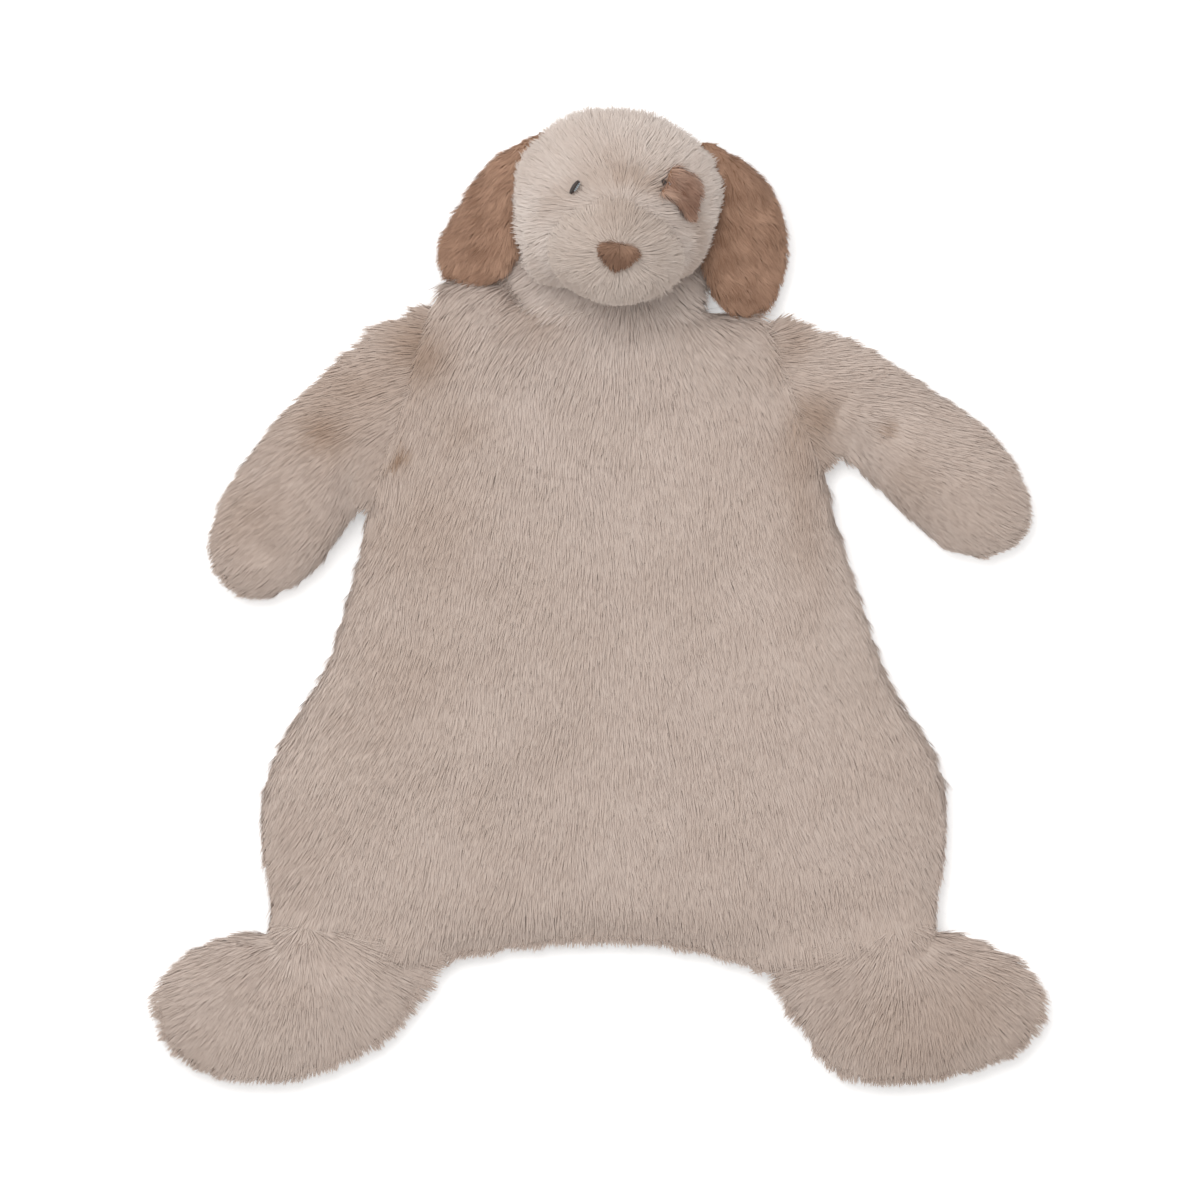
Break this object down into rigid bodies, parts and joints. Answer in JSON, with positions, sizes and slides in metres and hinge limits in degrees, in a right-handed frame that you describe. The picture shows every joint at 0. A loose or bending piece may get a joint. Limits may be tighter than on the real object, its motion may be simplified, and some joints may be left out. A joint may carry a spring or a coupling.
{
  "type": "plush snuggle toy",
  "caption": "Soft plush puppy comforter lying flat on its back: stuffed round head with muzzle and hanging ears, thin unstuffed body, lightly filled arms and feet.",
  "frame": {"origin": "on the ground under the middle of the outline, where the toy lies on its back", "axes": "+Y from the hem towards the crown of the head, +Z out of the belly and the face, +X to the toy's own left"},
  "size_m": [0.238, 0.2596, 0.0579],
  "materials": {
    "body_plush": "matte",
    "head_plush": "matte",
    "muzzle_plush": "matte",
    "ear_plush": "matte",
    "patch_plush": "matte",
    "nose_plush": "matte",
    "eye_thread": "satin",
    "polyester_filling": "matte"
  },
  "bodies": {
    "torso": {"body_front_panel": "body_plush", "body_back_panel": "body_plush"},
    "neck": {"neck_sleeve": "body_plush"},
    "head": {"forehead_panel": "head_plush", "left_cheek_panel": "head_plush", "right_cheek_panel": "head_plush", "head_back_panel": "head_plush", "muzzle_panel": "muzzle_plush", "head_filling": "polyester_filling", "eye_patch": "patch_plush", "nose": "nose_plush", "left_eye": "eye_thread", "right_eye": "eye_thread"},
    "left_ear": {"left_ear_outer": "ear_plush", "left_ear_lining": "ear_plush"},
    "right_ear": {"right_ear_outer": "ear_plush", "right_ear_lining": "ear_plush"},
    "left_arm": {"left_arm_front_panel": "body_plush", "left_arm_back_panel": "body_plush", "left_arm_filling": "polyester_filling"},
    "right_arm": {"right_arm_front_panel": "body_plush", "right_arm_back_panel": "body_plush", "right_arm_filling": "polyester_filling"},
    "left_foot": {"left_foot_front_panel": "body_plush", "left_foot_back_panel": "body_plush", "left_foot_filling": "polyester_filling"},
    "right_foot": {"right_foot_front_panel": "body_plush", "right_foot_back_panel": "body_plush", "right_foot_filling": "polyester_filling"}
  },
  "joints": [
    {"name": "neck_nod", "type": "hinge", "parent": "torso", "child": "neck", "pos_m": [0.00586, 0.07921, 0.007], "axis": [1, 0, 0], "range_deg": [-60, 60]},
    {"name": "head_turn", "type": "hinge", "parent": "neck", "child": "head", "pos_m": [0.00586, 0.10621, 0.0235], "axis": [0, 1, 0], "range_deg": [-45, 45]},
    {"name": "left_ear_flap", "type": "hinge", "parent": "head", "child": "left_ear", "pos_m": [0.03094, 0.11447, 0.024], "axis": [0.3423, -0.847, -0.4067], "range_deg": [-15, 80]},
    {"name": "right_ear_flap", "type": "hinge", "parent": "head", "child": "right_ear", "pos_m": [-0.01725, 0.11828, 0.024], "axis": [0.4891, 0.763, 0.4226], "range_deg": [-15, 80]},
    {"name": "left_arm_fold", "type": "hinge", "parent": "torso", "child": "left_arm", "pos_m": [0.05114, 0.05581, 0.007], "axis": [0.3822, -0.9241, 0], "range_deg": [-80, 80]},
    {"name": "right_arm_fold", "type": "hinge", "parent": "torso", "child": "right_arm", "pos_m": [-0.0519, 0.05185, 0.007], "axis": [0.3105, 0.9506, 0], "range_deg": [-80, 80]},
    {"name": "left_foot_fold", "type": "hinge", "parent": "torso", "child": "left_foot", "pos_m": [0.0642, -0.09379, 0.007], "axis": [-0.9896, -0.1436, 0], "range_deg": [-80, 80]},
    {"name": "right_foot_fold", "type": "hinge", "parent": "torso", "child": "right_foot", "pos_m": [-0.06111, -0.093, 0.007], "axis": [-0.9915, 0.1302, 0], "range_deg": [-80, 80]}
  ]
}
